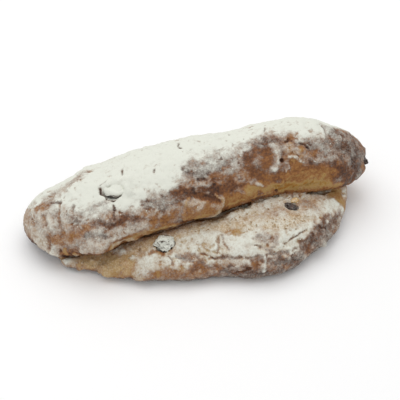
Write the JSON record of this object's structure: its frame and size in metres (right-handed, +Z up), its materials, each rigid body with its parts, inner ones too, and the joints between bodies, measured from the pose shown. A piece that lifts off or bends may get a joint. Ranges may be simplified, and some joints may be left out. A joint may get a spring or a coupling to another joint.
{
  "type": "stollen loaf",
  "caption": "Long festive fruit loaf folded over itself, a thick roll on a flatter flap, with raisins and candied peel in a crust dusted with icing sugar.",
  "frame": {"origin": "middle of the loaf's box, on the surface that it rests on", "axes": "+X along the loaf, towards the thick end with the raisin at its tip; -Y towards the flap that sticks out from the fold; +Z up"},
  "size_m": [0.2855, 0.1287, 0.0765],
  "materials": {
    "crust": "matte",
    "raisin": "satin",
    "dusted_raisin": "matte",
    "candied_peel": "satin"
  },
  "bodies": {
    "root": {"loaf": "crust", "raisin_tip": "raisin", "raisin_flap": "raisin", "raisin_seam": "dusted_raisin", "raisin_crown": "dusted_raisin", "peel_flap": "candied_peel"}
  },
  "joints": []
}
